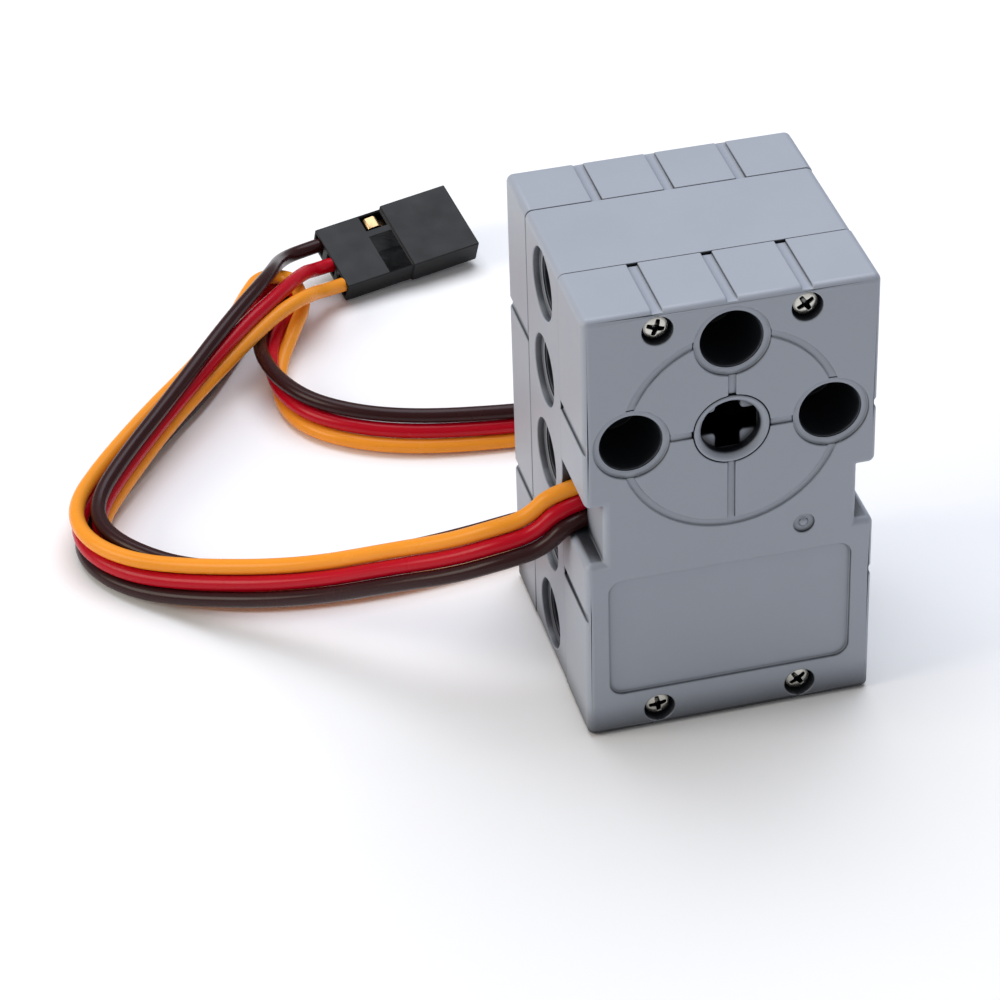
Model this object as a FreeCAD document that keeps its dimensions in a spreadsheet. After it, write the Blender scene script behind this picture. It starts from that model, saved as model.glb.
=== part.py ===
import FreeCAD, Part
import math
import os

import Sketcher
from FreeCAD import Placement, Rotation, Vector

# Micro servo with an 8 mm grid of pin holes and a three-wire lead.
# X is across the body, the output face looks along -Y and Z is up.
# The origin is the middle of the base. All lengths are in millimetres.

doc = FreeCAD.newDocument("MicroServo")
sheet = doc.addObject("Spreadsheet::Sheet", "Sizes")

SIZES = {
    # body shells
    "body_width": 23.6,
    "body_depth": 23.2,
    "body_height": 39.6,
    "frame_lip": 1.5,
    "wall": 1.4,
    "edge_radius": 0.6,
    "seam_inset": 0.05,
    "running_gap": 0.05,
    "part_gap": 0.1,
    # pin hole grid
    "grid_pitch": 8.0,
    "pin_bore": 4.9,
    "rim_bore": 6.15,
    "rim_depth": 0.3,
    "side_rim_bore": 5.95,
    "side_rim_depth": 0.7,
    "bore_lead_in": 0.15,
    "socket_depth": 8.0,
    "socket_wall": 0.95,
    "socket_floor": 0.6,
    "side_socket_floor": 1.0,
    # surface marks
    "mark_width": 0.85,
    "mark_depth": 0.28,
    "mark_offset": 5.9,
    "face_line_width": 0.6,
    "face_line_depth": 0.22,
    "face_circle_radius": 8.7,
    "panel_width": 20.0,
    "panel_bottom": 3.8,
    "panel_height": 11.3,
    "panel_corner": 1.2,
    "panel_depth": 0.35,
    "dimple_offset": 6.0,
    "dimple_height": 17.65,
    "dimple_radius": 0.87,
    "dimple_depth": 0.3,
    "notch_inset": 1.5,
    "notch_drop": 2.8,
    "notch_height": 5.3,
    "notch_liner": 1.2,
    # screws
    "screw_offset": 5.9,
    "screw_inset": 1.8,
    "screw_head": 2.1,
    "screw_head_height": 0.8,
    "screw_recess": 2.5,
    "screw_sink": 0.5,
    "screw_shank": 1.3,
    "screw_bite": 2.2,
    "screw_slot": 0.34,
    "screw_column": 1.65,
    # output shaft and its cross socket
    "hub_bore_wall": 1.4,
    "hub_diameter": 6.1,
    "hub_mouth": 4.8,
    "hub_mouth_depth": 1.2,
    "hub_mouth_bevel": 0.35,
    "cross_span": 4.9,
    "cross_arm": 1.9,
    "cross_corner": 0.45,
    "output_shaft": 4.0,
    "shaft_tip": 2.0,
    "bush_wall": 1.0,
    "bush_length": 2.0,
    # web that carries the sockets, shafts and motor
    "web_centre": 0.5,
    # gears
    "gear_module": 0.4,
    "pinion_teeth": 10,
    "first_teeth": 26,
    "second_teeth": 24,
    "output_teeth": 34,
    "output_gear_share": 0.238,
    "stage_share": 0.19,
    "input_share": 0.159,
    "gear_pin": 1.2,
    "pin_seat": 3.0,
    "first_gear_offset": 3.0,
    "pin_boss_wall": 0.6,
    # motor
    "motor_drop": 19.8,
    "motor_diameter": 6.0,
    "motor_wall": 0.25,
    "motor_leg": 0.78,
    "motor_leg_width": 0.6,
    "motor_leg_height": 1.0,
    "motor_shaft": 1.0,
    "motor_cap": 0.5,
    "magnet_thickness": 0.6,
    "magnet_margin": 1.2,
    "armature_radius": 1.8,
    "armature_margin": 1.8,
    # position sensor
    "sensor_diameter": 6.6,
    "sensor_depth": 2.8,
    "sensor_wall": 0.4,
    "sensor_leg_width": 0.5,
    "sensor_leg_length": 1.4,
    "sensor_leg_thickness": 0.4,
    # control board
    "board_base_gap": 0.15,
    "board_top_gap": 0.85,
    "board_thickness": 1.0,
    "board_seat": 0.92,
    "post_radius": 1.0,
    "chip_side": 4.6,
    "chip_height": 1.0,
    "chip_margin": 0.8,
    "chip_drop": 7.0,
    "driver_side": 3.6,
    "driver_drop": 8.0,
    "capacitor_radius": 1.9,
    "capacitor_length": 3.2,
    "capacitor_margin": 0.4,
    "resistor_length": 1.6,
    "resistor_width": 0.8,
    "resistor_margin": 1.0,
    # lead
    "wire_diameter": 1.36,
    "wire_pitch": 1.38,
    "slot_width": 2.1,
    "slot_height": 4.9,
    "gland_length": 1.2,
    "sensor_wire": 0.5,
    "sensor_wire_pitch": 0.55,
    # plug
    "plug_length": 14.0,
    "plug_width": 7.62,
    "plug_height": 2.54,
    "plug_step": 0.2,
    "plug_half": 7.0,
    "plug_pitch": 2.54,
    "plug_channel": 1.7,
    "plug_channel_height": 1.5,
    "plug_window": 2.2,
    "plug_window_start": 4.6,
    "pin_mouth": 0.9,
    "contact_start": 3.2,
    "contact_width": 1.3,
    "contact_height": 1.1,
    "contact_tongue": 1.4,
    "plug_mouth_wall": 1.0,
    "plug_entry": 1.4,
}

for row, (alias, size) in enumerate(SIZES.items(), 1):
    sheet.set(f"A{row}", alias)
    sheet.set(f"B{row}", str(size))
    sheet.setAlias(f"B{row}", alias)
doc.recompute()

parts = []


def size(expression):
    """Value of a sheet expression, as a plain number."""
    result = sheet.evalExpression(expression)
    return float(getattr(result, "Value", result))


def bind(item, **formulas):
    """Bind properties to sheet formulas; x, y and z are the placement's base."""
    for name, formula in formulas.items():
        path = f"Placement.Base.{name}" if name in "xyz" else name
        item.setExpression(path, formula)


def keep(item, label):
    """Give a finished sub-part its label and list it for export."""
    item.Label = label
    parts.append(item)
    return item


def box(name, x0, x1, y0, y1, z0, z1):
    item = doc.addObject("Part::Box", name)
    bind(item, x=x0, y=y0, z=z0, Length=f"({x1}) - ({x0})", Width=f"({y1}) - ({y0})",
         Height=f"({z1}) - ({z0})")
    return item


def rod(name, radius, x, z, y0, y1):
    """Cylinder along Y."""
    item = doc.addObject("Part::Cylinder", name)
    item.Placement = Placement(Vector(), Rotation(Vector(1, 0, 0), -90))
    bind(item, x=x, y=y0, z=z, Radius=radius, Height=f"({y1}) - ({y0})")
    return item


def side_rod(name, radius, y, z, x0, x1):
    """Cylinder along X."""
    item = doc.addObject("Part::Cylinder", name)
    item.Placement = Placement(Vector(), Rotation(Vector(0, 1, 0), 90))
    bind(item, x=x0, y=y, z=z, Radius=radius, Height=f"({x1}) - ({x0})")
    return item


def lead_in(name, radius, x, y, z, turn=-90, spin=Vector(1, 0, 0), bevel="Sizes.bore_lead_in"):
    """Cone that eases the mouth of a hole, its wide end at x, y, z; it looks back along Y unless turned."""
    item = doc.addObject("Part::Cone", name)
    item.Placement = Placement(Vector(), Rotation(spin, turn))
    bind(item, x=x, y=y, z=z, Radius1=f"{radius} + {bevel}", Radius2=radius, Height=bevel)
    return item


def join(name, items):
    item = doc.addObject("Part::MultiFuse", name)
    item.Shapes = items
    return item


def cut(name, base, tools):
    item = doc.addObject("Part::Cut", name)
    item.Base = base
    item.Tool = tools[0] if len(tools) == 1 else join(name + "_tools", tools)
    return item


def group(name, items):
    """Several separate solids in one sub-part."""
    item = doc.addObject("Part::Compound", name)
    item.Links = items
    return item


def rounded(name, base, radius, choose):
    """Fillet of the edges that a test picks."""
    doc.recompute()
    item = doc.addObject("Part::Fillet", name)
    item.Base = base
    amount = size(radius)
    picked = [n for n, edge in enumerate(base.Shape.Edges, 1) if choose(edge)]
    item.Edges = [(n, amount, amount) for n in picked]
    return item


def along_y(edge):
    return edge.Curve.TypeId == "Part::GeomLine" and abs(edge.Curve.Direction.y) > 0.99


def outline(body, role, corners):
    """Closed sketch of straight sides, each corner placed by two formulas."""
    plane = next(f for f in body.Origin.OriginFeatures if f.Role == role)
    sketch = body.newObject("Sketcher::SketchObject", body.Name + "_outline")
    sketch.AttachmentSupport = [(plane, "")]
    sketch.MapMode = "FlatFace"
    points = [Vector(size(u), size(v), 0) for u, v in corners]
    count = len(points)
    for n in range(count):
        sketch.addGeometry(Part.LineSegment(points[n], points[(n + 1) % count]))
    for n in range(count):
        sketch.addConstraint(Sketcher.Constraint("Coincident", n, 2, (n + 1) % count, 1))
    for n, (u, v) in enumerate(corners):
        for kind, formula, value in (("DistanceX", u, points[n].x), ("DistanceY", v, points[n].y)):
            index = sketch.addConstraint(Sketcher.Constraint(kind, -1, 1, n, 1, value))
            sketch.setExpression(f"Constraints[{index}]", formula)
    return sketch


def turned(name, x, y, z, profile):
    """Turned piece on an axis along Y; the profile holds (radius, distance from y)."""
    body = doc.addObject("PartDesign::Body", name)
    sketch = outline(body, "XY_Plane", profile)
    spin = body.newObject("PartDesign::Revolution", name + "_turning")
    spin.Profile = sketch
    spin.ReferenceAxis = (sketch, ["V_Axis"])
    spin.Angle = 360
    bind(body, x=x, y=y, z=z)
    return body


def padded(name, role, corners, thickness):
    """Plate of one outline and one thickness."""
    body = doc.addObject("PartDesign::Body", name)
    sketch = outline(body, role, corners)
    pad = body.newObject("PartDesign::Pad", name + "_pad")
    pad.Profile = sketch
    pad.setExpression("Length", thickness)
    return body


# Places that several pieces share
HALF_WIDTH = "Sizes.body_width / 2"
FRONT = "(-Sizes.body_depth / 2)"
REAR = "(Sizes.body_depth / 2)"
FRONT_WALL = f"({FRONT} + Sizes.wall)"
REAR_WALL = f"({REAR} - Sizes.wall)"
ROOM = f"({HALF_WIDTH} - Sizes.wall)"
CEILING = "(Sizes.body_height - Sizes.wall)"
MIDDLE = "(Sizes.body_height / 2)"
OUTPUT_Z = f"({MIDDLE} + Sizes.grid_pitch)"
BORE = "Sizes.pin_bore / 2"
RIM = "Sizes.rim_bore / 2"
SOCKET = f"({BORE} + Sizes.socket_wall)"
WEB_FRONT = f"(Sizes.web_centre - {SOCKET})"
WEB_REAR = f"(Sizes.web_centre + {SOCKET})"
FRONT_SEAM = f"({WEB_FRONT} - Sizes.frame_lip)"
REAR_SEAM = f"({WEB_REAR} + Sizes.frame_lip)"
NOTCH_BOTTOM = f"({MIDDLE} - Sizes.notch_drop)"
NOTCH_TOP = f"({NOTCH_BOTTOM} + Sizes.notch_height)"
NOTCH_WALL = f"({HALF_WIDTH} - Sizes.notch_inset)"
SCREW_ROWS = ["Sizes.screw_inset", "(Sizes.body_height - Sizes.screw_inset)"]
GRID_ROWS = [f"({MIDDLE} + {step} * Sizes.grid_pitch)" for step in (2, 1, 0, -1, -2)]
MARK_ROWS = [GRID_ROWS[1], GRID_ROWS[3]]
HUB_RADIUS = "Sizes.hub_diameter / 2"
HUB_END = f"({WEB_FRONT} - Sizes.part_gap)"
MOTOR_Z = f"({OUTPUT_Z} - Sizes.motor_drop)"
SHAFT = "Sizes.output_shaft / 2"
BUSH = f"({SHAFT} + Sizes.running_gap + Sizes.bush_wall)"
MOTOR_RADIUS = "Sizes.motor_diameter / 2"
PIN = "Sizes.gear_pin / 2"
SENSOR_FRONT = f"({REAR_WALL} - Sizes.sensor_depth)"

# Gear layers, counted back from the web, and the gear centres
GEAR_ROOM = f"({REAR_WALL} - {WEB_REAR})"
OUTPUT_WIDTH = f"({GEAR_ROOM} * Sizes.output_gear_share)"
STAGE_WIDTH = f"({GEAR_ROOM} * Sizes.stage_share)"
INPUT_WIDTH = f"({GEAR_ROOM} * Sizes.input_share)"
OUTPUT_LAYER = f"({WEB_REAR} + 4 * Sizes.part_gap)"
STAGE_LAYER = f"({OUTPUT_LAYER} + {OUTPUT_WIDTH} + 2 * Sizes.part_gap)"
INPUT_LAYER = f"({STAGE_LAYER} + {STAGE_WIDTH} + 2 * Sizes.part_gap)"
INPUT_END = f"({INPUT_LAYER} + {INPUT_WIDTH})"

# Control board: behind the front wall, between the lower screws and the hub's boss
BOARD_FRONT = f"({FRONT_WALL} + Sizes.board_seat)"
BOARD_REAR = f"({BOARD_FRONT} + Sizes.board_thickness)"
BOARD_BOTTOM = "(Sizes.screw_inset + Sizes.screw_column + Sizes.board_base_gap)"
BOARD_TOP = f"({OUTPUT_Z} - {HUB_RADIUS} - Sizes.hub_bore_wall - Sizes.board_top_gap)"
BOARD_SIDE = f"({NOTCH_WALL} - Sizes.notch_liner - Sizes.gland_length - Sizes.part_gap)"

# Lead: its three wires leave through the left notch, one above the other
LEAD_Y = f"({FRONT_SEAM} - Sizes.slot_width / 2)"
LEAD_Z = f"({NOTCH_BOTTOM} + Sizes.notch_height / 2)"

module = size("Sizes.gear_module")
pinion_teeth = round(size("Sizes.pinion_teeth"))
first_teeth = round(size("Sizes.first_teeth"))
second_teeth = round(size("Sizes.second_teeth"))
output_teeth = round(size("Sizes.output_teeth"))


def centre_distance(a, b):
    return module * (a + b) / 2


def meet(a, reach_a, b, reach_b):
    """Point at two given distances from a and b, on the right of the way from b to a."""
    span = math.dist(a, b)
    forward = (reach_a ** 2 - reach_b ** 2 + span ** 2) / (2 * span)
    aside = math.sqrt(reach_a ** 2 - forward ** 2)
    ux = (b[0] - a[0]) / span
    uz = (b[1] - a[1]) / span
    return a[0] + forward * ux - aside * uz, a[1] + forward * uz + aside * ux


output_axis = (0.0, size(OUTPUT_Z))
motor_axis = (0.0, size(MOTOR_Z))
first_x = -size("Sizes.first_gear_offset")
first_reach = centre_distance(pinion_teeth, first_teeth)
first_axis = (first_x, motor_axis[1] + math.sqrt(first_reach ** 2 - first_x ** 2))
second_axis = meet(output_axis, centre_distance(pinion_teeth, output_teeth),
                   first_axis, centre_distance(pinion_teeth, second_teeth))


# Front cover: moulded plastic shell with the output face, three pin sockets and the label panel
def front_cover():
    half, inner, top = HALF_WIDTH, NOTCH_WALL, "Sizes.body_height"
    low, high = NOTCH_BOTTOM, NOTCH_TOP
    corners = [(f"-{half}", "0"), (half, "0"), (half, low), (inner, low), (inner, high), (half, high),
               (half, top), (f"-{half}", top), (f"-{half}", high), (f"-{inner}", high),
               (f"-{inner}", low), (f"-{half}", low)]
    block = padded("front_block", "XZ_Plane", corners, f"{FRONT_SEAM} - {FRONT}")
    bind(block, y=FRONT_SEAM)
    front_y = size(FRONT)
    inner_x = size(inner)

    def outer_edge(edge):
        at_front = all(abs(v.Y - front_y) < 0.01 for v in edge.Vertexes)
        inside_corner = along_y(edge) and abs(abs(edge.Vertexes[0].X) - inner_x) < 0.01
        return at_front or (along_y(edge) and not inside_corner)

    shell = rounded("front_shell", block, "Sizes.edge_radius", outer_edge)

    cavity = box("front_cavity", f"-{ROOM}", ROOM, FRONT_WALL, FRONT_SEAM, "Sizes.wall", CEILING)
    liners = [box(f"front_liner_{side}", *span, FRONT_WALL, FRONT_SEAM,
                  f"{NOTCH_BOTTOM} - Sizes.notch_liner", f"{NOTCH_TOP} + Sizes.notch_liner")
              for side, span in (("left", (f"-{ROOM}", f"-{NOTCH_WALL} + Sizes.notch_liner")),
                                 ("right", (f"{NOTCH_WALL} - Sizes.notch_liner", ROOM)))]
    room = cut("front_room", cavity, liners)

    centres = [("top", "0", GRID_ROWS[0], "Sizes.socket_floor"),
               ("left", "-Sizes.grid_pitch", OUTPUT_Z, "Sizes.side_socket_floor"),
               ("right", "Sizes.grid_pitch", OUTPUT_Z, "Sizes.side_socket_floor")]
    centres = [row for row in centres if abs(size(row[1])) <= size(f"{HALF_WIDTH} - {SOCKET}")
               and size(row[2]) <= size(f"Sizes.body_height - {SOCKET}")]
    inside = [rod(f"front_tube_{n}", SOCKET, x, z, FRONT_WALL, FRONT_SEAM) for n, x, z, floor in centres]
    inside.append(rod("front_boss", f"{HUB_RADIUS} + Sizes.hub_bore_wall", "0", OUTPUT_Z,
                      FRONT_WALL, FRONT_SEAM))
    for n, z in enumerate(SCREW_ROWS):
        for side, x in (("left", "-Sizes.screw_offset"), ("right", "Sizes.screw_offset")):
            inside.append(rod(f"front_column_{side}_{n}", "Sizes.screw_column", x, z, FRONT_WALL, FRONT_SEAM))
    post_rows = (f"{BOARD_BOTTOM} + 2 * Sizes.post_radius", f"{BOARD_TOP} - 2 * Sizes.post_radius")
    for n, z in enumerate(post_rows):
        for side, x in (("left", f"-{BOARD_SIDE} / 2"), ("right", f"{BOARD_SIDE} / 2")):
            inside.append(rod(f"board_post_{side}_{n}", "Sizes.post_radius", x, z, FRONT_WALL, BOARD_FRONT))
    solid = join("front_solid", [cut("front_hollow", shell, [room])] + inside)

    tools = []
    for n, x, z, floor in centres:
        tools.append(rod(f"front_bore_{n}", BORE, x, z, FRONT, f"{FRONT_SEAM} - {floor}"))
        tools.append(rod(f"front_rim_{n}", RIM, x, z, FRONT, f"{FRONT} + Sizes.rim_depth"))
        tools.append(lead_in(f"front_lead_in_{n}", BORE, x, f"{FRONT} + Sizes.rim_depth", z))
    tools.append(rod("hub_bore", f"{HUB_RADIUS} + Sizes.running_gap", "0", OUTPUT_Z, FRONT, FRONT_SEAM))
    for n, z in enumerate(SCREW_ROWS):
        for side, x in (("left", "-Sizes.screw_offset"), ("right", "Sizes.screw_offset")):
            seat = f"({FRONT} + Sizes.screw_sink + Sizes.screw_head_height)"
            tools.append(rod(f"front_recess_{side}_{n}", "Sizes.screw_recess / 2", x, z, FRONT, seat))
            tools.append(rod(f"front_pilot_{side}_{n}", "Sizes.screw_shank / 2 + Sizes.running_gap",
                             x, z, seat, FRONT_SEAM))
    tools += face_marks() + shell_marks("front", FRONT, FRONT_SEAM)
    tools.append(box("lead_slot", f"-{NOTCH_WALL}", f"-{NOTCH_WALL} + Sizes.notch_liner",
                     f"{LEAD_Y} - Sizes.slot_width / 2", f"{LEAD_Y} + Sizes.slot_width / 2",
                     f"{LEAD_Z} - Sizes.slot_height / 2", f"{LEAD_Z} + Sizes.slot_height / 2"))
    dome = doc.addObject("Part::Sphere", "dimple_dome")
    bind(dome, x="Sizes.dimple_offset", y=f"{FRONT} + 2 * Sizes.dimple_depth", z="Sizes.dimple_height",
         Radius="Sizes.dimple_radius * 0.6")
    return join("front_cover", [cut("front_cut", solid, tools), dome])


def face_marks():
    """Circle and lines round the output, label panel and dimple on the front face."""
    depth = f"({FRONT} + Sizes.face_line_depth)"
    half = "Sizes.face_line_width / 2"
    disc = rod("circle_disc", f"Sizes.face_circle_radius + {half}", "0", OUTPUT_Z, FRONT, depth)
    core = rod("circle_core", f"Sizes.face_circle_radius - {half}", "0", OUTPUT_Z, FRONT, depth)
    lines = [
        box("line_upright", f"-{half}", half, FRONT, depth, f"{OUTPUT_Z} - Sizes.face_circle_radius",
            GRID_ROWS[0]),
        box("line_level", "-Sizes.grid_pitch", "Sizes.grid_pitch", FRONT, depth,
            f"{OUTPUT_Z} - {half}", f"{OUTPUT_Z} + {half}"),
    ]
    panel = box("panel_block", "-Sizes.panel_width / 2", "Sizes.panel_width / 2",
                FRONT, f"{FRONT} + Sizes.panel_depth",
                "Sizes.panel_bottom", "Sizes.panel_bottom + Sizes.panel_height")
    dimple = rod("dimple", "Sizes.dimple_radius", "Sizes.dimple_offset", "Sizes.dimple_height",
                 FRONT, f"{FRONT} + Sizes.dimple_depth")
    return [cut("face_circle", disc, [core]), *lines,
            rounded("label_panel", panel, "Sizes.panel_corner", along_y), dimple]


def shell_marks(name, y0, y1):
    """Shallow grooves on the top, bottom and sides of a cover."""
    half = "Sizes.mark_width / 2"
    marks = []
    for n, x in enumerate(("-Sizes.mark_offset", "0", "Sizes.mark_offset")):
        marks.append(box(f"{name}_top_mark_{n}", f"{x} - {half}", f"{x} + {half}", y0, y1,
                         "Sizes.body_height - Sizes.mark_depth", "Sizes.body_height"))
        marks.append(box(f"{name}_base_mark_{n}", f"{x} - {half}", f"{x} + {half}", y0, y1,
                         "0", "Sizes.mark_depth"))
    for n, z in enumerate(MARK_ROWS):
        marks.append(box(f"{name}_left_mark_{n}", f"-{HALF_WIDTH}", f"-{HALF_WIDTH} + Sizes.mark_depth",
                         y0, y1, f"{z} - {half}", f"{z} + {half}"))
        marks.append(box(f"{name}_right_mark_{n}", f"{HALF_WIDTH} - Sizes.mark_depth", HALF_WIDTH,
                         y0, y1, f"{z} - {half}", f"{z} + {half}"))
    return marks


# Middle frame: ring and web in one moulding, with five blind pin sockets in each side
def mid_frame():
    inset = "Sizes.seam_inset"
    ring = box("frame_block", f"-{HALF_WIDTH} + {inset}", f"{HALF_WIDTH} - {inset}", FRONT_SEAM, REAR_SEAM,
               inset, f"Sizes.body_height - {inset}")
    ring = rounded("frame_ring", ring, "Sizes.edge_radius", along_y)
    rooms = [box("frame_front_room", f"-{ROOM}", ROOM, FRONT_SEAM, WEB_FRONT, "Sizes.wall", CEILING),
             box("frame_rear_room", f"-{ROOM}", ROOM, WEB_REAR, REAR_SEAM, "Sizes.wall", CEILING)]
    columns = []
    for n, z in enumerate(SCREW_ROWS):
        for side, x in (("left", "-Sizes.screw_offset"), ("right", "Sizes.screw_offset")):
            columns.append(rod(f"frame_column_{side}_{n}", "Sizes.screw_column", x, z, FRONT_SEAM, REAR_SEAM))
    solid = join("frame_solid", [cut("frame_hollow", ring, rooms)] + columns)

    tools = []
    rows = [z for z in GRID_ROWS if size(SOCKET) <= size(z) <= size(f"Sizes.body_height - {SOCKET}")]
    for n, z in enumerate(rows, 1):
        for side, ends in (("left", (f"-{HALF_WIDTH}", f"-{HALF_WIDTH} + Sizes.socket_depth")),
                           ("right", (f"{HALF_WIDTH} - Sizes.socket_depth", HALF_WIDTH))):
            tools.append(side_rod(f"{side}_bore_{n}", BORE, "Sizes.web_centre", z, *ends))
            rim = ((f"-{HALF_WIDTH}", f"-{HALF_WIDTH} + Sizes.side_rim_depth") if side == "left"
                   else (f"{HALF_WIDTH} - Sizes.side_rim_depth", HALF_WIDTH))
            tools.append(side_rod(f"{side}_rim_{n}", "Sizes.side_rim_bore / 2", "Sizes.web_centre", z, *rim))
            mouth, turn = (rim[1], 90) if side == "left" else (rim[0], -90)
            tools.append(lead_in(f"{side}_lead_in_{n}", BORE, mouth, "Sizes.web_centre", z, turn,
                                 Vector(0, 1, 0)))
    tools.append(rod("motor_hole", f"{MOTOR_RADIUS} + Sizes.running_gap", "0", MOTOR_Z, WEB_FRONT, WEB_REAR))
    tools.append(rod("bush_hole", BUSH, "0", OUTPUT_Z, WEB_FRONT, WEB_REAR))
    for n, (x, z) in enumerate((first_axis, second_axis), 1):
        tools.append(rod(f"pin_hole_{n}", PIN, f"{x}", f"{z}", f"{WEB_REAR} - Sizes.pin_seat", WEB_REAR))
    for n, z in enumerate(SCREW_ROWS):
        for side, x in (("left", "-Sizes.screw_offset"), ("right", "Sizes.screw_offset")):
            for end, y0, y1 in (("front", FRONT_SEAM, f"{FRONT_SEAM} + Sizes.screw_bite"),
                                ("rear", f"{REAR_SEAM} - Sizes.screw_bite", REAR_SEAM)):
                tools.append(rod(f"{end}_thread_{side}_{n}", "Sizes.screw_shank / 2", x, z, y0, y1))
    tools.append(box("sensor_wire_gap", f"-{ROOM}", f"-{ROOM} + 4 * Sizes.sensor_wire", WEB_FRONT, WEB_REAR,
                     f"{MIDDLE} + Sizes.grid_pitch / 2 - Sizes.sensor_wire",
                     f"{MIDDLE} + Sizes.grid_pitch / 2 + Sizes.sensor_wire"))
    return cut("mid_frame", solid, tools)


# Rear cover: plain moulded cap over the gears
def rear_cover():
    block = box("rear_block", f"-{HALF_WIDTH}", HALF_WIDTH, REAR_SEAM, REAR, "0", "Sizes.body_height")
    rear_y = size(REAR)
    shell = rounded("rear_shell", block, "Sizes.edge_radius",
                    lambda edge: along_y(edge) or all(abs(v.Y - rear_y) < 0.01 for v in edge.Vertexes))
    room = box("rear_room", f"-{ROOM}", ROOM, REAR_SEAM, REAR_WALL, "Sizes.wall", CEILING)
    inside = []
    for n, z in enumerate(SCREW_ROWS):
        for side, x in (("left", "-Sizes.screw_offset"), ("right", "Sizes.screw_offset")):
            inside.append(rod(f"rear_column_{side}_{n}", "Sizes.screw_column", x, z, REAR_SEAM, REAR_WALL))
    for n, (x, z) in enumerate((first_axis, second_axis), 1):
        inside.append(rod(f"pin_boss_{n}", f"{PIN} + Sizes.pin_boss_wall", f"{x}", f"{z}",
                          f"{INPUT_END} + 2 * Sizes.part_gap", REAR_WALL))
    solid = join("rear_solid", [cut("rear_hollow", shell, [room])] + inside)
    tools = shell_marks("rear", REAR_SEAM, REAR)
    for n, (x, z) in enumerate((first_axis, second_axis), 1):
        tools.append(rod(f"pin_socket_{n}", f"{PIN} + Sizes.running_gap / 2", f"{x}", f"{z}",
                         f"{INPUT_END} + 2 * Sizes.part_gap", f"{REAR_WALL} + Sizes.part_gap"))
    for n, z in enumerate(SCREW_ROWS):
        for side, x in (("left", "-Sizes.screw_offset"), ("right", "Sizes.screw_offset")):
            seat = f"({REAR} - Sizes.screw_sink - Sizes.screw_head_height)"
            tools.append(rod(f"rear_recess_{side}_{n}", "Sizes.screw_recess / 2", x, z, seat, REAR))
            tools.append(rod(f"rear_pilot_{side}_{n}", "Sizes.screw_shank / 2 + Sizes.running_gap",
                             x, z, REAR_SEAM, seat))
    return cut("rear_cover", solid, tools)


# Screws: nickel-plated, with a cross recess, four in front and four behind
def screw(name, x, z, front):
    """One cross-recess screw; its head looks forward or backward."""
    head, shank = "Sizes.screw_head / 2", "Sizes.screw_shank / 2"
    cover = f"({FRONT_SEAM} - {FRONT})" if front else f"({REAR} - {REAR_SEAM})"
    reach = f"({cover} - Sizes.screw_sink + Sizes.screw_bite - Sizes.part_gap)"
    profile = [("0", "0"), (head, "0"), (head, "Sizes.screw_head_height"), (shank, "Sizes.screw_head_height"),
               (shank, f"{reach} - {shank}"), ("0", reach)]
    blank = turned(name + "_blank", "0", "0", "0", profile)
    arm, span = "Sizes.screw_slot / 2", "Sizes.screw_head * 0.36"
    depth = "Sizes.screw_head_height * 0.7"
    slots = [box(name + "_slot_a", f"-{arm}", arm, "0", depth, f"-{span}", span),
             box(name + "_slot_b", f"-{span}", span, "0", depth, f"-{arm}", arm)]
    item = cut(name, blank, slots)
    turn = Rotation(Vector(0, 1, 0), 38)
    item.Placement = Placement(Vector(), turn if front else Rotation(Vector(0, 0, 1), 180) * turn)
    face = f"{FRONT} + Sizes.screw_sink" if front else f"{REAR} - Sizes.screw_sink"
    bind(item, x=x, y=face, z=z)
    return item


def screws(name, front):
    items = []
    for n, z in enumerate(SCREW_ROWS):
        for side, x in (("left", "-Sizes.screw_offset"), ("right", "Sizes.screw_offset")):
            items.append(screw(f"{name}_{side}_{n}", x, z, front))
    return group(name, items)


# Output hub: sleeve flush with the face, cross socket in front, stepped shaft behind
def output_hub():
    tip_end = f"({REAR_WALL} - Sizes.sensor_wall - {FRONT})"
    step = f"({SENSOR_FRONT} - 3 * Sizes.part_gap - {FRONT})"
    sleeve = f"({HUB_END} - {FRONT})"
    profile = [("0", "0"), (HUB_RADIUS, "0"), (HUB_RADIUS, sleeve), (SHAFT, sleeve),
               (SHAFT, step), ("Sizes.shaft_tip / 2", step), ("Sizes.shaft_tip / 2", tip_end), ("0", tip_end)]
    blank = turned("hub_blank", "0", FRONT, OUTPUT_Z, profile)
    arm, span = "Sizes.cross_arm / 2", "Sizes.cross_span / 2"
    start = f"({FRONT} + Sizes.hub_mouth_depth)"
    end = f"({HUB_END} - Sizes.socket_floor)"
    upright = box("cross_upright", f"-{arm}", arm, start, end, f"{OUTPUT_Z} - {span}", f"{OUTPUT_Z} + {span}")
    level = box("cross_level", f"-{span}", span, start, end, f"{OUTPUT_Z} - {arm}", f"{OUTPUT_Z} + {arm}")

    def block_corner(edge):
        return along_y(edge) and abs(abs(edge.Vertexes[0].X) - size(arm)) < 0.01 and (
            abs(abs(edge.Vertexes[0].Z - size(OUTPUT_Z)) - size(arm)) < 0.01)

    tools = [rod("hub_mouth_cut", "Sizes.hub_mouth / 2", "0", OUTPUT_Z, FRONT, start),
             lead_in("hub_mouth_ease", "Sizes.hub_mouth / 2", "0", FRONT, OUTPUT_Z,
                     bevel="Sizes.hub_mouth_bevel"),
             rounded("cross_socket", join("cross_blank", [upright, level]), "Sizes.cross_corner",
                     block_corner)]
    return cut("output_hub", blank, tools)


def bush(name, y0):
    """Flangeless bronze bush in the web, round the output shaft."""
    inner = f"{SHAFT} + Sizes.running_gap"
    return turned(name, "0", y0, OUTPUT_Z, [(inner, "0"), (BUSH, "0"), (BUSH, "Sizes.bush_length"),
                                            (inner, "Sizes.bush_length")])


# Gears: involute teeth cut short, with a little backlash
BACKLASH = 0.035
PRESSURE = math.radians(20)


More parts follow.
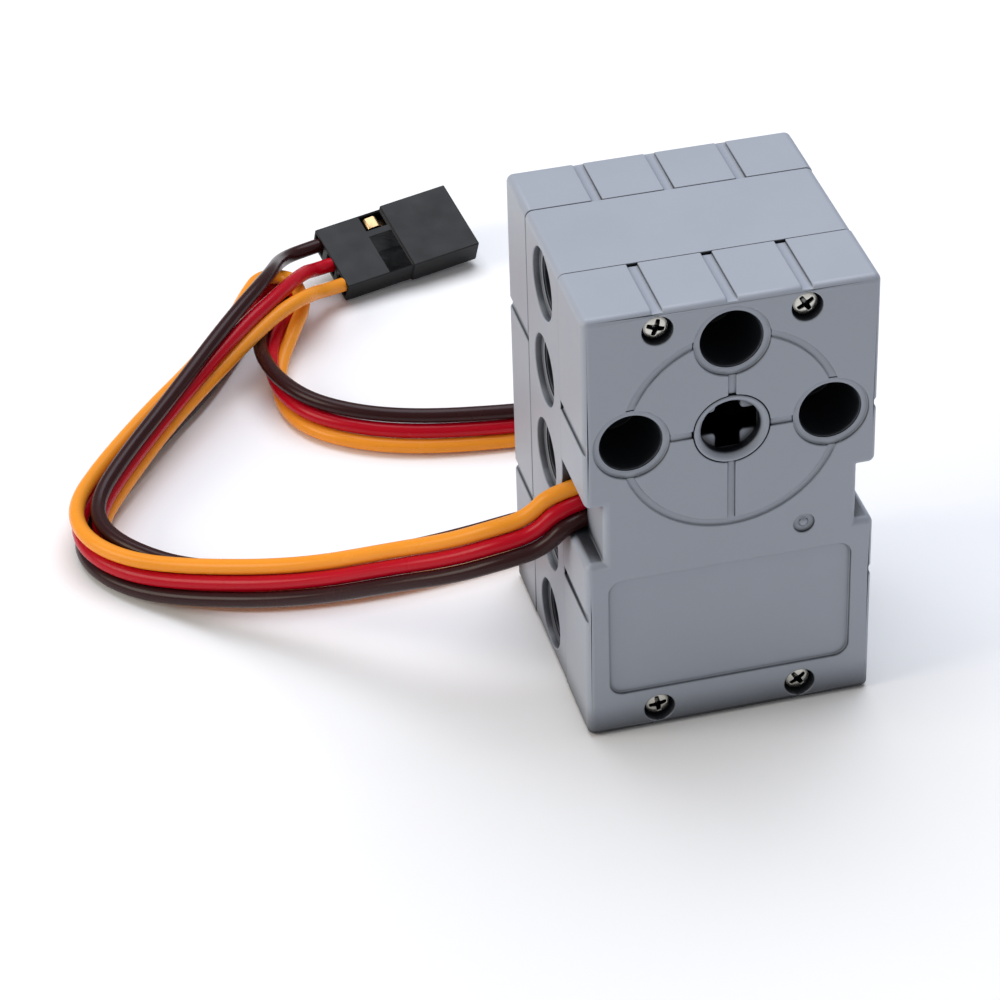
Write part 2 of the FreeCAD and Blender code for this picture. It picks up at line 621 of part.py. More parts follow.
def involute(angle):
    return math.tan(angle) - angle


def gear_face(teeth, phase):
    """Face of a spur gear in the XY plane, one tooth centred on the phase angle."""
    pitch = module * teeth / 2
    base = pitch * math.cos(PRESSURE)
    tip = pitch + 0.7 * module
    root = pitch - 1.05 * module
    half = math.pi / (2 * teeth) - BACKLASH / (2 * pitch) + involute(PRESSURE)

    def flank_point(radius, side, centre):
        roll = involute(math.acos(min(1.0, base / radius)))
        angle = centre + side * (half - roll)
        return Vector(radius * math.cos(angle), radius * math.sin(angle), 0)

    undercut = base - root > 0.1 * module
    start = base if undercut else root
    radii = [start + (tip - start) * n / 3 for n in range(4)]
    edges = []
    step = 2 * math.pi / teeth
    for n in range(teeth):
        centre = phase + n * step
        rise = [flank_point(radius, -1, centre) for radius in radii]
        fall = [flank_point(radius, 1, centre) for radius in reversed(radii)]
        foot = [Vector(p.x * root / start, p.y * root / start, 0) for p in (rise[0], fall[-1])]
        crown = Vector(tip * math.cos(centre), tip * math.sin(centre), 0)
        if undercut:
            edges.append(Part.LineSegment(foot[0], rise[0]))
        curve = Part.BSplineCurve()
        curve.interpolate(rise)
        edges.append(curve)
        edges.append(Part.Arc(rise[-1], crown, fall[0]))
        curve = Part.BSplineCurve()
        curve.interpolate(fall)
        edges.append(curve)
        if undercut:
            edges.append(Part.LineSegment(fall[-1], foot[1]))
        following = flank_point(start, -1, centre + step) * (root / start)
        valley = centre + step / 2
        bottom = Vector(root * math.cos(valley), root * math.sin(valley), 0)
        edges.append(Part.Arc(foot[1], bottom, following))
    return Part.Face(Part.Wire([edge.toShape() for edge in edges]))


def spur(teeth, bore, phase, axis, y0, width):
    """Solid gear on an axis along Y; the phase is the angle from X towards Z."""
    blank = gear_face(teeth, -phase).extrude(Vector(0, 0, width))
    solid = blank.cut(Part.makeCylinder(bore, width))
    solid.rotate(Vector(), Vector(1, 0, 0), -90)
    solid.translate(Vector(axis[0], y0, axis[1]))
    return solid


def mesh_phase(a, teeth_a, phase_a, b, teeth_b):
    """Phase that puts a gap of gear b against a tooth of gear a."""
    heading = math.atan2(b[1] - a[1], b[0] - a[0])
    turn = teeth_a * (heading - phase_a) / (2 * math.pi)
    return heading + math.pi - (0.5 - turn) * 2 * math.pi / teeth_b


def made(label, shape):
    """Sub-part whose shape is worked out here from the sheet's sizes."""
    item = doc.addObject("Part::Feature", label)
    item.Shape = shape
    return item


def tube_shape(radius_out, radius_in, axis, y0, y1):
    place = Vector(axis[0], y0, axis[1])
    outer = Part.makeCylinder(radius_out, y1 - y0, place, Vector(0, 1, 0))
    return outer.cut(Part.makeCylinder(radius_in, y1 - y0, place, Vector(0, 1, 0)))


output_y = size(OUTPUT_LAYER)
stage_y = size(STAGE_LAYER)
input_y = size(INPUT_LAYER)
input_end = size(INPUT_END)
output_width = size(OUTPUT_WIDTH)
stage_width = size(STAGE_WIDTH)
input_width = size(INPUT_WIDTH)
gear_bore = size(f"{PIN} + Sizes.running_gap / 2")
spacer_radius = size("Sizes.gear_pin")
web_rear = size(WEB_REAR)
part_gap = size("Sizes.part_gap")

first_phase = mesh_phase(motor_axis, pinion_teeth, 0.0, first_axis, first_teeth)
second_phase = mesh_phase(first_axis, pinion_teeth, 0.0, second_axis, second_teeth)
output_phase = mesh_phase(second_axis, pinion_teeth, 0.0, output_axis, output_teeth)


def first_gear():
    big = spur(first_teeth, gear_bore, first_phase, first_axis, input_y, input_width)
    small = spur(pinion_teeth, gear_bore, 0.0, first_axis, stage_y, input_y - stage_y)
    spacer = tube_shape(spacer_radius, gear_bore, first_axis, web_rear + part_gap, stage_y)
    return made("first_gear", big.multiFuse([small, spacer]).removeSplitter())


def second_gear():
    big = spur(second_teeth, gear_bore, second_phase, second_axis, stage_y, stage_width)
    small = spur(pinion_teeth, gear_bore, 0.0, second_axis, output_y, stage_y - output_y)
    spacer = tube_shape(spacer_radius, gear_bore, second_axis, web_rear + part_gap, output_y)
    return made("second_gear", big.multiFuse([small, spacer]).removeSplitter())


def output_gear():
    disc = spur(output_teeth, size(SHAFT), output_phase, output_axis, output_y, output_width)
    return made("output_gear", disc)


def motor_pinion():
    return made("motor_pinion", spur(pinion_teeth, size("Sizes.motor_shaft / 2"), 0.0, motor_axis,
                                     input_y, input_width))


def gear_pin(name, axis):
    return rod(name, PIN, f"{axis[0]}", f"{axis[1]}", f"{WEB_REAR} - Sizes.pin_seat", REAR_WALL)


# Motor: steel can, two magnets, wound armature on its shaft, plastic end cap and two terminals
MOTOR_FRONT = f"({BOARD_REAR} + Sizes.motor_leg + Sizes.motor_cap)"
MOTOR_REAR = f"({WEB_REAR} + Sizes.part_gap)"


def motor():
    bore = f"({MOTOR_RADIUS} - Sizes.motor_wall)"
    inner = "Sizes.motor_shaft / 2 + Sizes.running_gap"
    length = f"({MOTOR_REAR} - {MOTOR_FRONT})"
    floor = f"({length} - Sizes.motor_wall * 2)"
    can = turned("motor_can", "0", MOTOR_FRONT, MOTOR_Z, [
        (bore, "0"), (MOTOR_RADIUS, "0"), (MOTOR_RADIUS, length),
        (inner, length), (inner, floor), (bore, floor)])
    keep(can, "motor_can")
    cap = turned("motor_end_cap", "0", f"{MOTOR_FRONT} - Sizes.motor_cap", MOTOR_Z, [
        ("0", "0"), (MOTOR_RADIUS, "0"), (MOTOR_RADIUS, "Sizes.motor_cap"), ("0", "Sizes.motor_cap")])
    keep(cap, "motor_end_cap")

    y0, y1 = f"{MOTOR_FRONT} + Sizes.magnet_margin", f"{MOTOR_REAR} - Sizes.magnet_margin"
    ring = cut("magnet_ring", rod("magnet_outer", bore, "0", MOTOR_Z, y0, y1),
               [rod("magnet_inner", f"{bore} - Sizes.magnet_thickness", "0", MOTOR_Z, y0, y1)])
    gap = box("magnet_gap", f"-{MOTOR_RADIUS}", MOTOR_RADIUS, y0, y1,
              f"{MOTOR_Z} - Sizes.armature_radius / 2", f"{MOTOR_Z} + Sizes.armature_radius / 2")
    keep(cut("motor_magnets", ring, [gap]), "motor_magnets")

    shaft = turned("motor_shaft", "0", MOTOR_FRONT, MOTOR_Z, [
        ("0", "Sizes.part_gap"), ("Sizes.motor_shaft / 2", "Sizes.part_gap"),
        ("Sizes.motor_shaft / 2", f"{INPUT_END} - {MOTOR_FRONT}"), ("0", f"{INPUT_END} - {MOTOR_FRONT}")])
    keep(shaft, "motor_shaft")
    core = rod("armature_core", "Sizes.armature_radius", "0", MOTOR_Z,
               f"{MOTOR_FRONT} + Sizes.armature_margin", f"{MOTOR_REAR} - Sizes.armature_margin")
    hole = rod("armature_hole", "Sizes.motor_shaft / 2", "0", MOTOR_Z, y0, y1)
    keep(cut("motor_armature", core, [hole]), "motor_armature")

    half_x, half_z = "Sizes.motor_leg_width / 2", "Sizes.motor_leg_height / 2"
    legs = [box(f"motor_leg_{side}", f"{x} - {half_x}", f"{x} + {half_x}", BOARD_REAR,
                f"{MOTOR_FRONT} - Sizes.motor_cap", f"{MOTOR_Z} - {half_z}", f"{MOTOR_Z} + {half_z}")
            for side, x in (("left", f"-{MOTOR_RADIUS} / 2"), ("right", f"{MOTOR_RADIUS} / 2"))]
    keep(group("motor_terminals", legs), "motor_terminals")


# Position sensor: potentiometer behind the output gear, turned by the shaft's tip
SENSOR_RADIUS = "Sizes.sensor_diameter / 2"
SENSOR_LEG_Y = f"({REAR_WALL} - Sizes.sensor_depth / 4)"
SENSOR_LEG_END = f"({OUTPUT_Z} - {SENSOR_RADIUS} - Sizes.sensor_leg_length + 2 * Sizes.part_gap)"


def sensor():
    inner = f"({SENSOR_RADIUS} - Sizes.sensor_wall)"
    mouth = "Sizes.shaft_tip / 2 + Sizes.running_gap"
    floor = "Sizes.sensor_depth - Sizes.sensor_wall + Sizes.running_gap"
    case = turned("sensor_case", "0", SENSOR_FRONT, OUTPUT_Z, [
        (mouth, "0"), (SENSOR_RADIUS, "0"), (SENSOR_RADIUS, "Sizes.sensor_depth"),
        ("0", "Sizes.sensor_depth"), ("0", floor), (inner, floor), (inner, "Sizes.sensor_wall"),
        (mouth, "Sizes.sensor_wall")])
    keep(case, "sensor_case")
    rim = f"{inner} - 2 * Sizes.part_gap"
    rotor = turned("sensor_rotor", "0", SENSOR_FRONT, OUTPUT_Z, [
        ("Sizes.shaft_tip / 2", "2 * Sizes.sensor_wall"), (rim, "2 * Sizes.sensor_wall"),
        (rim, "4 * Sizes.sensor_wall"), ("Sizes.shaft_tip / 2", "4 * Sizes.sensor_wall")])
    keep(rotor, "sensor_rotor")
    half_x, half_y = "Sizes.sensor_leg_width / 2", "Sizes.sensor_leg_thickness / 2"
    legs = []
    for n in (-1, 0, 1):
        x = f"{n} * Sizes.wire_diameter"
        legs.append(box(f"sensor_leg_{n}", f"{x} - {half_x}", f"{x} + {half_x}",
                        f"{SENSOR_LEG_Y} - {half_y}", f"{SENSOR_LEG_Y} + {half_y}",
                        SENSOR_LEG_END, f"{SENSOR_LEG_END} + Sizes.sensor_leg_length"))
    trim = rod("sensor_leg_trim", SENSOR_RADIUS, "0", OUTPUT_Z, SENSOR_FRONT, REAR_WALL)
    keep(cut("sensor_terminals", join("sensor_legs", legs), [trim]), "sensor_terminals")


# Control board on four posts, with its chips, capacitor, resistors and the motor drive
def board():
    plate = padded("control_board", "XZ_Plane", [
        (f"-{BOARD_SIDE}", BOARD_BOTTOM), (BOARD_SIDE, BOARD_BOTTOM), (BOARD_SIDE, BOARD_TOP),
        (f"-{BOARD_SIDE}", BOARD_TOP)], "Sizes.board_thickness")
    bind(plate, y=BOARD_REAR)
    keep(plate, "control_board")
    right = f"({BOARD_SIDE} - Sizes.chip_margin)"
    chip_z = f"({MIDDLE} - Sizes.chip_drop)"
    chip = box("control_chip", f"{right} - Sizes.chip_side", right, BOARD_REAR,
               f"{BOARD_REAR} + Sizes.chip_height", chip_z, f"{chip_z} + Sizes.chip_side")
    keep(chip, "control_chip")
    driver_z = f"({MIDDLE} - Sizes.driver_drop)"
    driver = box("driver_chip", f"-{right}", f"-{right} + Sizes.driver_side", BOARD_REAR,
                 f"{BOARD_REAR} + Sizes.chip_height", driver_z, f"{driver_z} + Sizes.driver_side")
    keep(driver, "driver_chip")
    inset = "(Sizes.capacitor_radius + Sizes.capacitor_margin)"
    can = rod("board_capacitor", "Sizes.capacitor_radius",
              f"{BOARD_SIDE} - {inset}", f"{BOARD_TOP} - {inset}",
              BOARD_REAR, f"{BOARD_REAR} + Sizes.capacitor_length")
    keep(can, "board_capacitor")
    chips = []
    for column, row in ((0, 0), (1, 0), (0, 1)):
        x = f"(Sizes.resistor_margin + {1.5 * column} * Sizes.resistor_length - {BOARD_SIDE})"
        z = f"({BOARD_BOTTOM} + Sizes.resistor_margin + {2 * row} * Sizes.resistor_width)"
        chips.append(box(f"resistor_{column}_{row}", x, f"{x} + Sizes.resistor_length", BOARD_REAR,
                         f"{BOARD_REAR} + Sizes.resistor_width / 2", z, f"{z} + Sizes.resistor_width"))
    keep(group("board_resistors", chips), "board_resistors")


# Route of the lead's middle wire: x, y, z, lean. The first two points are counted from where the
# lead crosses the body's side, the others from the foot of the body's left rear corner.
# Lean turns the row of wires about its run: 0 is orange straight above brown, 90 is orange on the left.
EXIT_ROUTE = [
    (5.2, 0.0, 0.0, 0),
    (-0.6, 0.0, -0.05, 0),
]
ROUTE = [
    (-2.5, -16.7, 17.3, -15),
    (-5.2, -16.2, 16.1, -32),
    (-8.8, -14.1, 13.6, -34),
    (-12.4, -11.1, 11, -35),
    (-19.5, -4, 5.9, -35),
    (-28, 2.7, 2.9, -28),
    (-32.8, 6.5, 2.2, -12),
    (-35.5, 10.8, 2.15, 0),
    (-35.5, 15.6, 2.1, 8),
    (-32.3, 20.7, 2.05, 20),
    (-26.4, 28.3, 2.1, 25),
    (-21.2, 34.4, 2.1, 20),
    (-16.8, 40.8, 2.1, 8),
    (-14.3, 45.2, 2.1, 15),
    (-13, 47.6, 2.35, -1),
    (-10.9, 47.9, 2.1, -13),
    (-9.7, 46.5, 2.2, -7),
    (-10, 44.5, 2.1, 12),
    (-10.6, 43.2, 2.1, 55),
    (-12.9, 39.7, 2.4, 100),
    (-14.5, 35.6, 2.2, 141),
    (-14.6, 29.8, 2.1, 182),
    (-12, 24.7, 2.1, 203),
    (-5.4, 20.6, 2.1, 208),
    (4.8, 18.7, 2.1, 195),
    (14.8, 18.2, 2.1, 180),
    (21.8, 16.2, 2.1, 180),
    (24.2, 11, 2.1, 180),
    (21.4, 5.8, 2.1, 180),
    (14.4, 3.8, 2.1, 175),
    (4.7, 3.4, 2.1, 165),
    (-7.4, 1, 2.1, 150),
    (-19.4, 1.1, 2.1, 160),
    (-27.4, 3.7, 2.1, 168),
    (-31.6, 7.7, 2.15, 178),
    (-33.8, 11.7, 2.2, 180),
    (-33.6, 15.6, 2.5, 180),
    (-30.5, 20.2, 3.2, 180),
    (-24.6, 28, 3.9, 175),
    (-17.1, 36, 5.6, 208),
]

# Last points of each wire, where the three spread out and enter the plug
FANS = {
    "brown_wire": [(-12.7, 42.3, 7.2), (-10.5, 49.4, 4.2)],
    "red_wire": [(-12.1, 40.9, 5.9), (-9.1, 45.3, 4.9)],
    "orange_wire": [(-12.5, 39.3, 4.9), (-9.2, 41.7, 4.7)],
}
WIRES = {"brown_wire": -1, "red_wire": 0, "orange_wire": 1}


def place_wire(rows, offset):
    """Centre points of one wire, at a signed offset from the middle wire."""
    points = []
    for n, (point, lean) in enumerate(rows):
        before = rows[max(n - 1, 0)][0]
        after = rows[min(n + 1, len(rows) - 1)][0]
        travel = (after - before).normalize()
        left = Vector(0, 0, 1).cross(travel).normalize()
        up = travel.cross(left)
        angle = math.radians(lean)
        points.append(point + (up * math.cos(angle) + left * math.sin(angle)) * offset)
    return points


def smooth_path(points):
    """Straight runs joined by tangent arcs, each as large as its two runs allow; with its smallest radius."""
    edges = []
    radii = []
    start = points[0]
    for n in range(1, len(points) - 1):
        before, corner, after = points[n - 1:n + 2]
        inward = (before - corner).normalize()
        outward = (after - corner).normalize()
        reach = 0.45 * min((before - corner).Length, (after - corner).Length)
        half_turn = (math.pi - inward.getAngle(outward)) / 2
        radius = reach / math.tan(half_turn)
        radii.append(radius)
        arc_start = corner + inward * reach
        arc_end = corner + outward * reach
        to_centre = (inward + outward).normalize()
        middle = corner + to_centre * (math.hypot(radius, reach) - radius)
        edges.append(Part.LineSegment(start, arc_start).toShape())
        edges.append(Part.Arc(arc_start, middle, arc_end).toShape())
        start = arc_end
    edges.append(Part.LineSegment(start, points[-1]).toShape())
    return Part.Wire(edges), radii


def tube(label, points, radius):
    """Round solid along a path, with its volume checked against section times length."""
    path, radii = smooth_path(points)
    ring = Part.Wire([Part.Circle(points[0], points[1] - points[0], radius).toShape()])
    solid = path.makePipeShell([ring], True, True)
    expected = math.pi * radius ** 2 * path.Length
    print(label, "length", round(path.Length, 1), "smallest radii", [round(r, 2) for r in sorted(radii)[:4]],
          "volume ratio", round(solid.Volume / expected, 4))
    return made(label, solid)


# Plug: black three-way housing lying on its orange edge, with three pressed contacts
LEAD_ORIGIN = Vector(-size(HALF_WIDTH), size(REAR), 0)
PLUG_CORNER = Vector(-4.9, 46.5, 0.05)
PLUG_TURN = Rotation(14.2, -1.8, 23.3)
PLUG_PLACE = Placement(LEAD_ORIGIN + PLUG_CORNER, PLUG_TURN)
PLUG_MIDDLE = "(Sizes.plug_width / 2)"
CHANNEL_FLOOR = "((Sizes.plug_height - Sizes.plug_channel_height) / 2)"
LANES = {"brown_wire": 1, "red_wire": 0, "orange_wire": -1}


def lane_y(lane):
    return f"({PLUG_MIDDLE} + {lane} * Sizes.plug_pitch)"


def plug():
    step = "Sizes.plug_step"
    tail = box("plug_tail", "0", "Sizes.plug_half", step, f"Sizes.plug_width - {step}", "0",
               f"Sizes.plug_height - {step}")
    head = box("plug_head", "Sizes.plug_half", "Sizes.plug_length", "0", "Sizes.plug_width",
               "0", "Sizes.plug_height")
    tools = []
    for name, lane in LANES.items():
        y = lane_y(lane)
        half = "Sizes.plug_channel / 2"
        wall_end = "Sizes.plug_length - Sizes.plug_mouth_wall"
        tools.append(box(f"{name}_channel", "0", wall_end, f"{y} - {half}", f"{y} + {half}", CHANNEL_FLOOR,
                         f"{CHANNEL_FLOOR} + Sizes.plug_channel_height"))
        tools.append(box(f"{name}_mouth", wall_end, "Sizes.plug_length", f"{y} - Sizes.pin_mouth / 2",
                         f"{y} + Sizes.pin_mouth / 2", "(Sizes.plug_height - Sizes.pin_mouth) / 2",
                         "(Sizes.plug_height + Sizes.pin_mouth) / 2"))
        tools.append(box(f"{name}_window", "Sizes.plug_window_start",
                         "Sizes.plug_window_start + Sizes.plug_window", f"{y} - {half}", f"{y} + {half}",
                         f"{CHANNEL_FLOOR} + Sizes.plug_channel_height / 2", "Sizes.plug_height"))
    housing = cut("plug_housing", join("plug_block", [tail, head]), tools)
    housing.Placement = PLUG_PLACE
    keep(housing, "plug_housing")

    contacts = []
    for name, lane in LANES.items():
        y = lane_y(lane)
        half = "Sizes.contact_width / 2"
        floor = f"{CHANNEL_FLOOR} + Sizes.part_gap"
        body = box(f"{name}_contact_body", "Sizes.contact_start",
                   "Sizes.plug_length - Sizes.plug_mouth_wall - Sizes.part_gap",
                   f"{y} - {half}", f"{y} + {half}", floor, f"{floor} + Sizes.contact_height")
        window_end = "Sizes.plug_window_start + Sizes.plug_window"
        tongue = box(f"{name}_contact_tongue", f"{window_end} - Sizes.contact_tongue",
                     f"{window_end} - Sizes.part_gap", f"{y} - {half}", f"{y} + {half}",
                     f"{floor} + Sizes.contact_height", f"Sizes.plug_height - {step} - Sizes.part_gap")
        contacts.append(join(f"{name}_contact", [body, tongue]))
    pins = group("plug_contacts", contacts)
    pins.Placement = PLUG_PLACE
    keep(pins, "plug_contacts")


def lead_wire(label):
    """One insulated wire from the board, along the route and into its contact in the plug."""
    exit_point = Vector(-size(HALF_WIDTH), size(LEAD_Y), size(LEAD_Z))
    rows = [(exit_point + Vector(x, y, z), lean) for x, y, z, lean in EXIT_ROUTE]
    rows += [(LEAD_ORIGIN + Vector(x, y, z), lean) for x, y, z, lean in ROUTE]
    points = place_wire(rows, WIRES[label] * size("Sizes.wire_pitch"))
    points += [LEAD_ORIGIN + Vector(*point) for point in FANS[label]]
    across, height = size(lane_y(LANES[label])), size("Sizes.plug_height / 2")
    for along in (-size("Sizes.plug_entry"), size("Sizes.contact_start")):
        points.append(PLUG_PLACE.multVec(Vector(along, across, height)))
    return tube(label, points, size("Sizes.wire_diameter / 2"))


def lead_gland():
    """Rubber block that grips the three wires inside the slot."""
    x0 = f"(-{NOTCH_WALL} + Sizes.notch_liner)"
    x1 = f"({x0} + Sizes.gland_length)"
    wire = "(Sizes.wire_diameter / 2 + Sizes.running_gap)"
    block = box("gland_block", x0, x1,
                f"{LEAD_Y} - {wire}", f"{LEAD_Y} + Sizes.slot_width / 2 + Sizes.part_gap",
                f"{NOTCH_BOTTOM} - Sizes.part_gap", f"{NOTCH_TOP} + Sizes.part_gap")
    slot = box("gland_slot", x0, x1, f"{LEAD_Y} - {wire}", f"{LEAD_Y} + {wire}",
               f"{LEAD_Z} - Sizes.wire_pitch - {wire}", f"{LEAD_Z} + Sizes.wire_pitch + {wire}")
    keep(cut("lead_gland", block, [slot]), "lead_gland")


def sensor_leads():
    """Three thin wires from the position sensor, round the gears and forward to the board."""
    radius = size("Sizes.sensor_wire / 2")
    pitch = size("Sizes.sensor_wire_pitch")
    reach = size(ROOM) - size("Sizes.sensor_wire") + part_gap / 2
    height = size(f"{MIDDLE} + Sizes.grid_pitch / 2")
    back = size(SENSOR_LEG_Y)
    front = size(BOARD_REAR) + radius + part_gap / 2
    start_z = size(SENSOR_LEG_END) - part_gap
    strands = []
    for lane in (0, 1, 2):
        x = (lane - 1) * size("Sizes.wire_diameter")
        side = lane * pitch - reach
        points = [Vector(x, back, start_z), Vector(x - 2 * pitch, back, start_z - pitch * (lane + 1)),
                  Vector(side, back, height), Vector(side, front, height)]
        path, _ = smooth_path(points)
        ring = Part.Wire([Part.Circle(points[0], points[1] - points[0], radius).toShape()])
        strands.append(path.makePipeShell([ring], True, True))
    keep(made("sensor_leads", Part.Compound(strands)), "sensor_leads")


keep(front_cover(), "front_cover")
keep(mid_frame(), "mid_frame")
keep(rear_cover(), "rear_cover")
keep(screws("front_screws", True), "front_screws")
keep(screws("rear_screws", False), "rear_screws")
keep(output_hub(), "output_hub")
keep(output_gear(), "output_gear")
keep(bush("front_bush", WEB_FRONT), "front_bush")
keep(bush("rear_bush", f"{WEB_REAR} - Sizes.bush_length"), "rear_bush")
keep(first_gear(), "first_gear")
keep(second_gear(), "second_gear")
keep(gear_pin("first_gear_pin", first_axis), "first_gear_pin")
keep(gear_pin("second_gear_pin", second_axis), "second_gear_pin")
keep(motor_pinion(), "motor_pinion")
motor()
sensor()
board()
for label in WIRES:
    keep(lead_wire(label), label)
plug()
lead_gland()
sensor_leads()

doc.recompute()
for item in doc.Objects:
    if "Invalid" in item.State or "Error" in item.State:
        raise RuntimeError(f"{item.Name} failed: {item.State}")
for item in parts:
    if item.Shape.isNull() or not item.Shape.isValid():
        raise RuntimeError(f"{item.Label} has no valid shape")
os.makedirs("parts", exist_ok=True)
for item in parts:
    item.Shape.exportStep(f"parts/{item.Label}.step")
    print(item.Label, "volume", round(item.Shape.Volume, 2), "solids", len(item.Shape.Solids))
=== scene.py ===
import math

import bmesh
import bpy
import numpy as np
from mathutils import Matrix


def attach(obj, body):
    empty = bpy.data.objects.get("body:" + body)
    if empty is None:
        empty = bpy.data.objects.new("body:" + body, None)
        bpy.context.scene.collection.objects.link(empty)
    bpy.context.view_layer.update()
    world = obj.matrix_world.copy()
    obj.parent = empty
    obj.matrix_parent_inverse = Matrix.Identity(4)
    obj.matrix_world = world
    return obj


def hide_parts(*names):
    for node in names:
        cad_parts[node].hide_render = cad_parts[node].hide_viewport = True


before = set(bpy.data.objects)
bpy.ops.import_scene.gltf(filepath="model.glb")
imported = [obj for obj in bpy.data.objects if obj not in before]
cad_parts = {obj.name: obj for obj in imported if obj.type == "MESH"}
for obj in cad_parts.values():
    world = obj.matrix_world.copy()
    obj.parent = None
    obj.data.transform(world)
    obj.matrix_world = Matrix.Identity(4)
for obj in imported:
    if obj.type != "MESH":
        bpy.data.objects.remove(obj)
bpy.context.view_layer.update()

# Housing: a front cover, a middle frame and a rear cover, injection moulded in blue-grey ABS.
# The tool leaves a fine spark-eroded grain, slightly rounded edges and a faint flow mottle,
# so the plastic looks satin, with thin light lines along its edges.
MM = 0.001
SHELL_EASE = 0.11 * MM
SHELL_GRAIN = 0.14 * MM
SHELL_MOTTLE = 7.0 * MM
FRONT_SEAM, REAR_SEAM = -4.4 * MM, 5.4 * MM
FRONT_HAIR, REAR_HAIR = 0.05 * MM, 0.008 * MM
MERGE_GAP = 0.0005 * MM
SEAM_SEARCH = 0.001 * MM
FLAT_ANGLE, EDGE_ANGLE = math.radians(1), math.radians(38)
SHADED_AT, OPEN_AT = 0.50, 0.80


def linear(colour):
    """sRGB hex to linear light: c / 12.92 up to 0.04045, and ((c + 0.055) / 1.055) ** 2.4 above it."""
    share = np.array([int(colour[n:n + 2], 16) for n in (1, 3, 5)]) / 255
    light = np.where(share <= 0.04045, share / 12.92, ((share + 0.055) / 1.055) ** 2.4)
    return (*light.tolist(), 1.0)


def add(tree, kind, inputs=None, **settings):
    """A node of that kind with these options. Each input takes a value or another node's output."""
    node = tree.nodes.new(kind)
    for name, value in settings.items():
        setattr(node, name, value)
    for socket, value in (inputs or {}).items():
        if isinstance(value, bpy.types.NodeSocket):
            tree.links.new(value, node.inputs[socket])
        else:
            node.inputs[socket].default_value = value
    return node


def coating(name, colour, roughness, metallic=0.0, **sockets):
    """A material with one Principled shader that holds these values, its tree and the shader."""
    material = bpy.data.materials.new(name)
    material.use_nodes = True
    tree = material.node_tree
    shader = tree.nodes["Principled BSDF"]
    shader.inputs["Base Color"].default_value = linear(colour)
    shader.inputs["Roughness"].default_value = roughness
    shader.inputs["Metallic"].default_value = metallic
    for socket, value in sockets.items():
        shader.inputs[socket.replace("_", " ")].default_value = value
    return material, tree, shader


def grained(name, light, dark, roughness, grain, depth, mottle, strength=0.35, painted_shade=None, **sockets):
    """A moulded or rolled finish: two near tones in a slow mottle, and a fine bump of this grain and depth.
    A painted shade is a colour and a reach: where walls within the reach hide the sky, the tone fades to that
    colour, so shade in hollows and gaps is painted into the surface."""
    material, tree, shader = coating(name, light, sum(roughness) / 2, **sockets)
    place = add(tree, "ShaderNodeTexCoord").outputs["Object"]
    slow = add(tree, "ShaderNodeTexNoise", {"Vector": place, "Scale": 1 / mottle, "Detail": 3.0,
                                            "Roughness": 0.55})
    fine = add(tree, "ShaderNodeTexNoise", {"Vector": place, "Scale": 1 / grain, "Detail": 2.0,
                                            "Roughness": 0.6})
    tone = add(tree, "ShaderNodeMix", {0: slow.outputs["Fac"], 6: linear(dark), 7: linear(light)},
               data_type="RGBA")
    # Painted shade: the base colour is darkened towards the shade colour wherever nearby walls block the sky,
    # in bores, slots, seams and recesses.
    if painted_shade:
        nearby = add(tree, "ShaderNodeAmbientOcclusion", {"Distance": painted_shade[1]}, samples=16)
        open_share = add(tree, "ShaderNodeMapRange", {"Value": nearby.outputs["AO"], "From Min": SHADED_AT,
                                                      "From Max": OPEN_AT})
        tone = add(tree, "ShaderNodeMix", {0: open_share.outputs["Result"], 6: linear(painted_shade[0]),
                                           7: tone.outputs[2]}, data_type="RGBA")
    tree.links.new(tone.outputs[2], shader.inputs["Base Color"])
    gloss = add(tree, "ShaderNodeMapRange", {"Value": slow.outputs["Fac"], "From Min": 0.3, "From Max": 0.7,
                                             "To Min": roughness[0], "To Max": roughness[1]})
    tree.links.new(gloss.outputs["Result"], shader.inputs["Roughness"])
    bump = add(tree, "ShaderNodeBump", {"Height": fine.outputs["Fac"], "Strength": strength,
                                        "Distance": depth})
    tree.links.new(bump.outputs["Normal"], shader.inputs["Normal"])
    return material


def put(name, data):
    """An object of that name in the scene, at the origin, for a mesh, a curve, a lamp or a camera."""
    thing = bpy.data.objects.new(name, data)
    bpy.context.scene.collection.objects.link(thing)
    return thing


def show(name, mesh, material):
    """A piece with that mesh and material, at the origin."""
    mesh.materials.clear()
    mesh.materials.append(material)
    return put(name, mesh)


def eased(name, node, body, material, width, partings=()):
    """A node's solid with its triangles merged into faces, and every sharp edge rounded to the given width.
    A parting is a plane on Y where the piece meets its neighbour, and how far it draws back from it."""
    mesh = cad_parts[node].data.copy()
    form = bmesh.new()
    form.from_mesh(mesh)
    bmesh.ops.remove_doubles(form, verts=form.verts, dist=MERGE_GAP)
    bmesh.ops.dissolve_limit(form, angle_limit=FLAT_ANGLE, verts=form.verts, edges=form.edges)
    form.to_mesh(mesh)
    form.free()
    corners = np.empty(len(mesh.vertices) * 3)
    mesh.vertices.foreach_get("co", corners)
    along = corners.reshape(-1, 3)[:, 1]
    for seam, retreat in partings:
        along[np.abs(along - seam) < SEAM_SEARCH] += retreat
    mesh.vertices.foreach_set("co", corners)
    mesh.shade_smooth()
    piece = show(name, mesh, material)
    round_off = piece.modifiers.new("edges", "BEVEL")
    round_off.width = width
    round_off.segments = 2
    round_off.limit_method = "ANGLE"
    round_off.angle_limit = EDGE_ANGLE
    round_off.use_clamp_overlap = False
    piece.modifiers.new("flat faces", "WEIGHTED_NORMAL").weight = 100
    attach(piece, body)
    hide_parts(node)
    return piece
